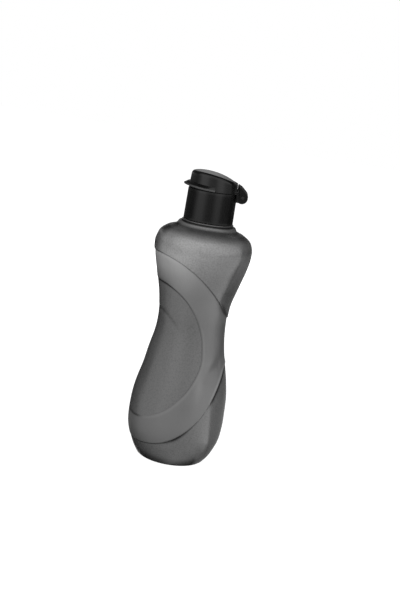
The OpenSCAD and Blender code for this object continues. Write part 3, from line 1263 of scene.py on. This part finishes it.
@dataclass
class ScrewCap:
    """The cap: skirt with an inside thread, deck, drinking spout and hinge boss."""

    foot_z: float = 182.8
    joint_z: float = 205.4
    skirt_r: float = 18.3
    top_r: float = 18.0
    bore_r: float = 16.7
    deck_t: float = 2.0
    spout_r: float = 6.4
    rim_r: float = 5.2
    passage_r: float = 3.5
    spout_h: float = 7.2
    collar_h: float = 2.6
    thread_r: float = 15.5
    thread_z: float = 186.0
    boss_r: float = 3.6
    boss_w: float = 9.4
    boss_root_x: float = 17.2
    boss_foot_z: float = 199.6
    boss_edge: float = 0.4

    def boss(self) -> bpy.types.Object:
        """Builds the boss that the hinge pin turns in.

        Returns:
            The boss.
        """
        x, z = HINGE
        foot = [(self.boss_root_x, self.boss_foot_z), (x - 0.6, self.boss_foot_z)]
        knuckle = Outline.arc(HINGE, self.boss_r, -76, 162, 28)
        outline = [*foot, *knuckle, (self.boss_root_x, z + 1.0)]
        return Bench.slab("cap_boss", outline, -self.boss_w / 2, self.boss_w / 2, self.boss_edge)

    def build(self) -> bpy.types.Object:
        """Builds the cap.

        Returns:
            The finished piece.
        """
        under = self.joint_z - self.deck_t
        tip = self.joint_z + self.spout_h
        start = (self.bore_r, 195.0, 0)
        outline = Outline.rounded([
            start, (self.bore_r, self.foot_z, 0.35), (self.skirt_r, self.foot_z, 0.45),
            (self.top_r, self.joint_z, 0.15), (self.spout_r, self.joint_z, 1.2),
            (self.rim_r, tip - self.collar_h, 1.5), (self.rim_r, tip, 0.8), (self.passage_r, tip, 0.5),
            (self.passage_r, under, 0.3), (self.bore_r, under, 0.6), start])
        piece = Bench.turn("cap_shell", outline, 160)
        ridge = Thread(self.bore_r + 0.2, self.thread_r, self.thread_z).build("cap_thread")
        Bench.join(piece, ridge, self.boss())
        piece.name = "cap_with_spout"
        Bench.smooth(piece, 40)
        return piece


@dataclass
class FlipLid:
    """The lid: hollow, arched, with a thumb lip in front and two hinge arms behind."""

    rim_z: float = 205.6
    rim_r: float = 17.8
    top_r: float = 17.2
    top_z: float = 218.5
    wall: float = 1.7
    edge: float = 2.4
    crown: float = 3.2
    crest_x: float = -10.0
    arch_r: float = 68.0
    lip_r: float = 18.95
    lip_root_r: float = 16.95
    lip_shift: float = 2.85
    lip_z: float = 205.75
    lip_slant: float = 3.7
    lip_end_x: float = 1.6
    lip_top_r: float = 17.65
    arm_r: float = 4.2
    arm_y: float = 5.0
    arm_w: float = 3.0
    arm_edge: float = 0.7
    arm_end_x: float = 21.0
    arm_root: Point2 = (15.4, 17.45)
    arm_foot: Point2 = (17.85, 208.0)
    root_lead_x: float = 13.8
    root_drops: Point2 = (2.5, 1.2)
    root_rise: float = 1.0
    root_inset: float = 0.1
    root_edge: float = 0.5
    knuckle: Point2 = (21.7, 203.7)
    knuckle_rise: float = 1.0
    pin_r: float = 1.25
    pin_proud: float = 0.04
    seat_z: float = 212.65
    stopper_r: float = 6.6
    plug_r: float = 2.6
    plug_h: float = 1.5

    def arch(self, x: np.ndarray) -> np.ndarray:
        """Returns the height of the arched top along X."""
        return self.top_z - self.arch_r + np.sqrt(self.arch_r**2 - (x - self.crest_x) ** 2)

    def bow(self, places: np.ndarray, low: float, high: float) -> np.ndarray:
        """Bows a flat-topped piece along the arch.

        Args:
            places: Places on the piece.
            low: Height up to which they stay.
            high: Height from which they follow the arch in full.

        Returns:
            Their new places.
        """
        x, y, z = places.T
        share = np.clip((z - low) / (high - low), 0, 1)
        return np.stack([x, y, z + share * (self.arch(x) - self.top_z)], 1)

    def shell(self) -> bpy.types.Object:
        """Builds the hollow lid.

        Returns:
            The lid without lip and arms.
        """
        inner, under = self.rim_r - self.wall, self.top_z - self.wall
        outline = Outline.rounded([
            (0, self.top_z, 0), (self.top_r, self.top_z, self.edge), (self.rim_r, self.rim_z + 0.4, 0.15),
            (self.rim_r - 0.35, self.rim_z, 0.1), (inner, self.rim_z, 0.25), (inner - 0.3, under, 1.2),
            (0, under, 0)], 8, 1.2)
        piece = Bench.turn("lid_shell", outline, 160)
        Bench.sculpt(piece, lambda places: self.bow(places, self.rim_z, self.top_z - self.crown))
        return piece

    def lip(self) -> bpy.types.Object:
        """Builds the flared thumb lip around the front half.

        Returns:
            The lip.
        """
        inner, outer = self.lip_root_r, self.lip_r
        start = (inner, 1.5, 0)
        outline = Outline.rounded([
            start, (inner, 0.1, 0), (outer - 0.55, 0.2, 0.1), (outer - 0.07, 0.35, 0.08), (outer, 1.2, 0.12),
            (self.lip_top_r, 3.4, 0.3), (inner, 3.6, 0), start], 4, 0.35)
        piece = Bench.turn("lid_lip", outline, 192)

        def lean(places: np.ndarray) -> np.ndarray:
            """Moves the rim towards the thumb, and slants and lifts the lip.

            Args:
                places: Places on the turned lip.

            Returns:
                Their new places.
            """
            x, y, z = places.T
            share = np.clip((np.hypot(x, y) - inner) / (outer - inner), 0, 1)
            x = x - self.lip_shift * share
            return np.stack([x, y, z + self.lip_z - x * math.tan(math.radians(self.lip_slant))], 1)

        # A painted highlight along the lip's outer edge, stored for the finish to lighten.
        reach = np.array([math.hypot(*vertex.co.xy) for vertex in piece.data.vertices]) / MM
        painted_edge_highlight = step(reach, outer - 0.25, outer - 0.1).astype(np.float32)
        Bench.store(piece, "edge", painted_edge_highlight)
        Bench.sculpt(piece, lean)
        Bench.edit(piece)
        bpy.ops.mesh.bisect(plane_co=(self.lip_end_x * MM, 0, 0), plane_no=(1, 0, 0), clear_outer=True,
                            use_fill=True)
        Bench.close(piece)
        Bench.bevel(piece, 0.2, 60)
        return piece

    def arm(self, name: str, y0: float) -> bpy.types.Object:
        """Builds one hinge arm, parted from its root on the lid's wall by a slit.

        Args:
            name: Name of the new mesh.
            y0: The arm's near face along Y.

        Returns:
            The arm with its root.
        """
        (root_x, root_end), (foot_x, foot_z) = self.arm_root, self.arm_foot
        arch = [(float(k), float(self.arch(k))) for k in np.linspace(foot_x, self.arm_end_x, 5)]
        x, z = self.knuckle
        upper = Outline.arc((x, z + self.knuckle_rise), self.arm_r, 45, 0, 10)
        lower = Outline.arc((x, z), self.arm_r, 0, -180, 30)
        outline = [*arch, *upper, *lower, (x - self.arm_r, self.rim_z), (root_x, self.rim_z),
                   (root_x, foot_z), (foot_x, foot_z)]
        y1 = y0 + self.arm_w - self.pin_proud
        arm = Bench.slab(name, outline, y0, y1, self.arm_edge)
        across = (root_x, self.root_lead_x, self.root_lead_x, root_end)
        top = [(k, float(self.arch(k)) - drop) for k, drop in zip(across, (*self.root_drops, 0, 0))]
        low = self.rim_z + self.root_rise
        root = Bench.slab(f"{name}_root", [*top, (root_end, low), (root_x, low)], y0 + self.root_inset,
                          y1 - self.root_inset, self.root_edge)
        return Bench.join(arm, root)

    def build(self) -> bpy.types.Object:
        """Builds the lid.

        Returns:
            The finished piece.
        """
        piece = self.shell()
        Bench.join(piece, self.lip(), self.arm("lid_arm_front", self.pin_proud - self.arm_y - self.arm_w),
                   self.arm("lid_arm_back", self.arm_y))
        piece.name = "arched_lid"
        Bench.smooth(piece, 40)
        return piece

    def stopper(self) -> bpy.types.Object:
        """Builds the soft plug under the lid's top.

        Returns:
            The finished piece.
        """
        top, seat, tip = self.top_z - self.wall - 0.05, self.seat_z, self.seat_z - self.plug_h
        outline = Outline.rounded([
            (0, tip, 0), (self.plug_r, tip, 0.6), (self.plug_r, seat, 0.3), (self.stopper_r, seat, 0.5),
            (self.stopper_r, top, 0.2), (0, top, 0)], 4, 1.0)
        piece = Bench.turn("soft_stopper", outline, 96)
        Bench.sculpt(piece, lambda places: self.bow(places, seat + 0.6, top))
        Bench.smooth(piece, 40)
        return piece

    def pin(self) -> bpy.types.Object:
        """Builds the hinge pin.

        Returns:
            The finished piece.
        """
        Bench.clear()
        reach = self.arm_y + self.arm_w
        bpy.ops.mesh.primitive_cylinder_add(vertices=48, radius=self.pin_r * MM, depth=2 * reach * MM,
                                            location=(HINGE[0] * MM, 0, HINGE[1] * MM),
                                            rotation=(math.pi / 2, 0, 0))
        piece = bpy.context.object
        piece.name = piece.data.name = "hinge_rod"
        bpy.ops.object.transform_apply(location=True, rotation=True, scale=True)
        Bench.bevel(piece, 0.25, 50)
        Bench.smooth(piece, 40)
        return piece


@dataclass
class Washer:
    """The soft washer between the neck and the deck."""

    inner_r: float = 12.6
    outer_r: float = 16.2
    low_z: float = 201.85
    high_z: float = 203.35

    def build(self) -> bpy.types.Object:
        """Builds the washer.

        Returns:
            The finished piece.
        """
        middle = (self.low_z + self.high_z) / 2
        outline = Outline.rounded([
            (self.inner_r, middle, 0), (self.inner_r, self.low_z, 0.4), (self.outer_r, self.low_z, 0.4),
            (self.outer_r, self.high_z, 0.4), (self.inner_r, self.high_z, 0.4), (self.inner_r, middle, 0)], 4)
        piece = Bench.turn("soft_washer", outline, 128)
        Bench.smooth(piece, 50)
        return piece


def reflect_only(card: bpy.types.Object, levels: Sequence[Point2]) -> None:
    """Makes a card glow and hides it from all but reflections.

    Args:
        card: The card.
        levels: Stops along its width as (share, level); white is 1.
    """
    peak = max(level for _, level in levels) or 1.0
    material, sheet = new_material(card.name)
    material.cycles.emission_sampling = "NONE"
    along = sheet.node("ShaderNodeSeparateXYZ", inputs={0: sheet.node("ShaderNodeTexCoord", output="UV")})
    stops = [(share, level / peak) for share, level in levels]
    paint = sheet.node("ShaderNodeValToRGB", {"stops": stops}, {0: along})
    glow = sheet.node("ShaderNodeEmission", inputs={"Color": paint, "Strength": peak})
    sheet.node("ShaderNodeOutputMaterial", inputs={"Surface": glow})
    card.data.materials.append(material)
    card.visible_camera = card.visible_diffuse = card.visible_shadow = False
    card.visible_transmission = card.visible_volume_scatter = False


@dataclass(frozen=True)
class Screen:
    """A curved screen around the bottle, for its reflections: pale panels with dark gaps between them.

    Attributes:
        name: Name of the screen.
        distance: Distance from the axis.
        heights: Its lower and upper edge.
        levels: Stops around the bottle as (direction, level), in degrees from the front; white is 1.
        right_edge: Directions of its right edge as (height, direction), if that isn't upright.
        shades: True if it also keeps light off the bottle.
    """

    name: str
    distance: float
    heights: Point2
    levels: tuple[Point2, ...]
    right_edge: tuple[Point2, ...] = ()
    shades: bool = False

    def bend(self, places: np.ndarray) -> np.ndarray:
        """Bends a flat sheet of one millimetre around the bottle, from its left to its right direction.

        Args:
            places: Places on the sheet.

        Returns:
            Their new places.
        """
        z = self.heights[0] + (self.heights[1] - self.heights[0]) * (places[:, 1] + 0.5)
        start, end = self.levels[0][0], self.levels[-1][0]
        if self.right_edge:
            end = through(self.right_edge, z)
        turn = np.radians(start + (end - start) * (places[:, 0] + 0.5))
        return np.stack([self.distance * np.sin(turn), -self.distance * np.cos(turn), z], 1)

    def build(self) -> None:
        """Puts up the screen."""
        Bench.clear()
        bpy.ops.mesh.primitive_grid_add(x_subdivisions=72, y_subdivisions=36, size=MM)
        sheet = bpy.context.object
        sheet.name = self.name
        Bench.sculpt(sheet, self.bend)
        start, end = self.levels[0][0], self.levels[-1][0]
        reflect_only(sheet, [((turn - start) / (end - start), level) for turn, level in self.levels])
        sheet.visible_diffuse = sheet.visible_shadow = self.shades


NEAR_LEFT = ((-150, 0.0), (-128, 0.0), (-112, 0.1), (-104, 0.15), (-80, 1.2), (-34, 1.65), (0, 1.15))
LOW_LEFT = ((-150, 0.0), (-130, 0.0), (-110, 0.1), (-93, 0.4), (-71, 0.8))
SCREENS = (
    Screen("screen_near", 200, (-100, 70), (*NEAR_LEFT, (34, 1.5), (60, 2.1), (86, 2.6)),
           ((-100, 104), (-47, 92), (0, 85), (20, 83), (36, 85), (52, 90), (70, 91.5))),
    Screen("screen_above", 200, (70, 112), (*NEAR_LEFT, (34, 1.5), (60, 1.9), (86, 2.0)),
           ((70, 91.5), (112, 94.5))),
    Screen("screen_shoulder", 200, (112, 150), (*NEAR_LEFT, (34, 1.4), (60, 1.3), (86, 1.2)),
           ((112, 94.5), (150, 99))),
    Screen("screen_ankle", 200, (-150, -100), (
        *LOW_LEFT, (-43, 1.2), (0, 1.2), (43, 1.4), (71, 1.3), (92, 1.4)), ((-150, 112), (-100, 104))),
    Screen("screen_foot", 200, (-210, -150), (
        *LOW_LEFT, (-43, 1.1), (0, 1.2), (43, 1.4), (71, 0.8), (92, 0.6)),
           ((-210, 126), (-187, 118), (-150, 112))),
    Screen("screen_base", 200, (-5000, -210), (
        (-150, 0.0), (-106, 0.0), (-85, 0.15), (-55, 0.5), (0, 1.0), (40, 1.2), (60, 1.0), (80, 0.7),
        (96, 0.3), (112, 0.0), (165, 0.0))),
    Screen("strip_low", 206, (-210, 20), ((70, 0.35), (165, 0.35))),
    Screen("strip_high", 206, (20, 150), ((70, 0.2), (165, 0.2))),
    Screen("screen_low", 900, (-300, 60), (
        (-180, 0.1), (-82, 0.1), (-70, 0.6), (-60, 0.73), (-36, 0.73), (-20, 0.25), (-10, 0.06), (8, 0.06),
        (18, 0.3), (26, 0.53), (44, 0.53), (54, 0.1), (62, 0.02), (180, 0.04))),
    Screen("screen_table", 900, (-2200, -300), (
        (-180, 0.3), (-60, 1.2), (-40, 2.5), (10, 2.5), (30, 1.2), (80, 0.4), (180, 0.3))),
    Screen("screen_collar", 900, (60, 150), (
        (-180, 0.1), (-124, 0.1), (-82, 0.1), (-70, 0.6), (-58, 1.2), (-36, 1.2), (-22, 0.5), (-10, 0.1),
        (8, 0.1), (18, 0.45), (28, 0.85), (42, 0.85), (52, 0.2), (60, 0.03), (180, 0.05))),
    Screen("screen_lid", 900, (150, 260), (
        (-180, 0.3), (-118, 0.3), (-86, 0.35), (-70, 0.9), (-58, 2.1), (-36, 2.1), (-20, 1.0), (-8, 0.75),
        (8, 0.75), (18, 1.3), (28, 1.9), (44, 1.9), (58, 0.9), (72, 0.5), (104, 0.4), (106, 0.05),
        (180, 0.3))),
    Screen("screen_high", 900, (260, 700), (
        (-180, 0.45), (-176, 0.35), (-168, 0.1), (-150, 0.0), (-118, 0.0), (-100, 0.3), (-80, 1.1),
        (-60, 2.2), (-36, 2.2), (-10, 1.3), (8, 1.3), (22, 1.8), (48, 2.2), (70, 1.7), (104, 1.0),
        (109, 0.0), (164, 0.0), (169, 0.1), (173, 0.15), (177, 0.4), (180, 0.45))),
    Screen("screen_top", 900, (700, 1700), (
        (-180, 0.22), (-128, 0.25), (-106, 0.8), (-36, 1.8), (0, 1.8), (48, 1.5), (110, 0.8), (130, 0.05),
        (180, 0.2))),
    Screen("strip_lid", 352, (199, 270), ((-150, 0.45), (-84, 0.45))),
    Screen("strip_cap", 352, (150, 270), ((112, 0.0), (130, 0.08), (150, 0.08), (166, 0.05))),
    Screen("flag_left", 360, (0, 800), ((-150, 0.08), (-84, 0.08)), shades=True),
    Screen("flag_right", 360, (0, 800), ((98, 0.0), (150, 0.0)), shades=True),
)


@dataclass(frozen=True)
class Softbox:
    """A lamp with a soft rectangular face.

    Attributes:
        name: Name of the lamp.
        place: Its place.
        target: The place that it faces.
        size: Its width and height.
        power: Its power in watts.
    """

    name: str
    place: Point3
    target: Point3
    size: Point2
    power: float

    def build(self) -> None:
        """Hangs the lamp."""
        data = bpy.data.lights.new(self.name, "AREA")
        data.shape = "RECTANGLE"
        data.size, data.size_y = self.size[0] * MM, self.size[1] * MM
        data.energy = self.power
        lamp = bpy.data.objects.new(self.name, data)
        bpy.context.scene.collection.objects.link(lamp)
        lamp.location = Vector(self.place) * MM
        lamp.visible_glossy = False
        lamp.rotation_mode = "QUATERNION"
        lamp.rotation_quaternion = (Vector(self.target) - Vector(self.place)).to_track_quat("-Z", "Y")


SOFTBOXES = (
    Softbox("softbox_left", (-330, -905, 520), (0, 0, 150), (700, 900), 5.5),
    Softbox("softbox_right", (960, -640, 380), (0, 0, 90), (900, 900), 5.0),
    Softbox("softbox_back", (0, 950, 400), (0, 0, 110), (500, 800), 5.0),
)


@dataclass
class Studio:
    """Pale floor, soft light, screens for the reflections, and the camera."""

    eye: Point3 = (0.0, -826.0, 290.0)
    aim: Point3 = (0.0, 0.0, 105.0)
    roll: float = 9.35
    lens: float = 67.86
    sensor: float = 36.0
    shift: Point2 = (0.0148, 0.0382)
    sky: float = 0.45
    floor_size: float = 8000.0
    floor_gap: float = 0.2
    floor_level: float = 0.38
    floor_glow: float = 0.93
    flag_size: float = 4000.0
    top_z: float = 1700.0
    under_z: float = -2200.0
    under_level: float = 0.5

    def camera(self) -> None:
        """Sets up the camera."""
        data = bpy.data.cameras.new("camera")
        data.lens = self.lens
        data.sensor_width = self.sensor
        data.shift_x, data.shift_y = self.shift
        eye = bpy.data.objects.new("camera", data)
        bpy.context.scene.collection.objects.link(eye)
        sight = Vector(self.aim) - Vector(self.eye)
        eye.location = Vector(self.eye) * MM
        eye.rotation_mode = "QUATERNION"
        rolled = Quaternion(sight.normalized(), -math.radians(self.roll))
        eye.rotation_quaternion = rolled @ sight.to_track_quat("-Z", "Y")
        bpy.context.scene.camera = eye

    @staticmethod
    def seen(sheet: Sheet) -> Wire:
        """Tells rays from the camera, mirrors and glass from the rest.

        Args:
            sheet: The nodes.

        Returns:
            1 for such rays and 0 for the rest.
        """
        names = ("Is Camera Ray", "Is Glossy Ray", "Is Transmission Ray")
        camera, glossy, glass = (sheet.node("ShaderNodeLightPath", output=name) for name in names)
        return camera | glossy | glass

    def world(self) -> None:
        """Makes the surroundings white to look at, with a plain soft light."""
        world = bpy.data.worlds.new("studio")
        bpy.context.scene.world = world
        world.use_nodes = True
        sheet = Sheet(world.node_tree)
        white = sheet.node("ShaderNodeBackground", inputs={"Color": grey(1.0), "Strength": 1.0})
        soft = sheet.node("ShaderNodeBackground", inputs={"Color": grey(1.0), "Strength": self.sky})
        both = sheet.node("ShaderNodeMixShader", inputs={0: self.seen(sheet), 1: soft, 2: white})
        sheet.node("ShaderNodeOutputWorld", inputs={"Surface": both})

    def floor(self) -> None:
        """Lays the floor, which keeps a light shadow."""
        Bench.clear()
        bpy.ops.mesh.primitive_plane_add(size=self.floor_size * MM, location=(0, 0, -self.floor_gap * MM))
        plane = bpy.context.object
        plane.name = "floor"
        material, sheet = new_material("pale_floor")
        paint = sheet.node("ShaderNodeBsdfDiffuse", inputs={"Color": grey(self.floor_level)})
        glow = sheet.node("ShaderNodeEmission", inputs={"Color": grey(1.0), "Strength": self.floor_glow})
        bright = sheet.node("ShaderNodeAddShader", inputs={0: paint, 1: glow})
        both = sheet.node("ShaderNodeMixShader", inputs={0: self.seen(sheet), 1: paint, 2: bright})
        sheet.node("ShaderNodeOutputMaterial", inputs={"Surface": both})
        plane.data.materials.append(material)
        plane.visible_glossy = False

    def flag(self, name: str, height: float, level: float) -> None:
        """Lays a flag flat above or below the bottle.

        Args:
            name: Name of the flag.
            height: Its height.
            level: Its level; white is 1.
        """
        Bench.clear()
        bpy.ops.mesh.primitive_plane_add(size=self.flag_size * MM, location=(0, 0, height * MM))
        flag = bpy.context.object
        flag.name = name
        reflect_only(flag, ((0.0, level), (1.0, level)))

    def build(self) -> None:
        """Sets up the whole studio."""
        bpy.context.scene.view_settings.view_transform = "Standard"
        self.camera()
        self.world()
        self.floor()
        self.flag("flag_top", self.top_z, 0.0)
        self.flag("flag_under", self.under_z, self.under_level)
        for item in (*SCREENS, *SOFTBOXES):
            item.build()


def place(piece: bpy.types.Object, body: Body, node: str, slot: str, finish: Finish) -> None:
    """Dresses a piece and puts it in the place of a node.

    Args:
        piece: The piece.
        body: The body that it rides on.
        node: The node that it stands for.
        slot: Not used; the slot that its finish belongs to.
        finish: Its finish.
    """
    piece.data.materials.clear()
    piece.data.materials.append(bpy.data.materials.get(finish.name) or finish.make())
    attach(piece, body.value)
    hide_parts(node)
    LOG.info("%s: %d faces", piece.name, len(piece.data.polygons))


def main() -> None:
    """Builds the bottle and its studio."""
    logging.basicConfig(level=logging.INFO, format="%(message)s")
    Studio().build()
    place(SqueezeBody().build(), Body.BOTTLE, "bottle_body", "body", BLOWN)
    place(Washer().build(), Body.WASHER, "neck_gasket", "seal", MILKY)
    place(ScrewCap().build(), Body.CAP, "screw_cap", "cap", BLACK)
    lid = FlipLid()
    place(lid.build(), Body.LID, "flip_lid", "lid", BLACK)
    place(lid.stopper(), Body.LID, "spout_stopper", "stopper", MILKY)
    place(lid.pin(), Body.LID, "hinge_pin", "pin", PIN_BLACK)


if __name__ == "__main__":
    main()
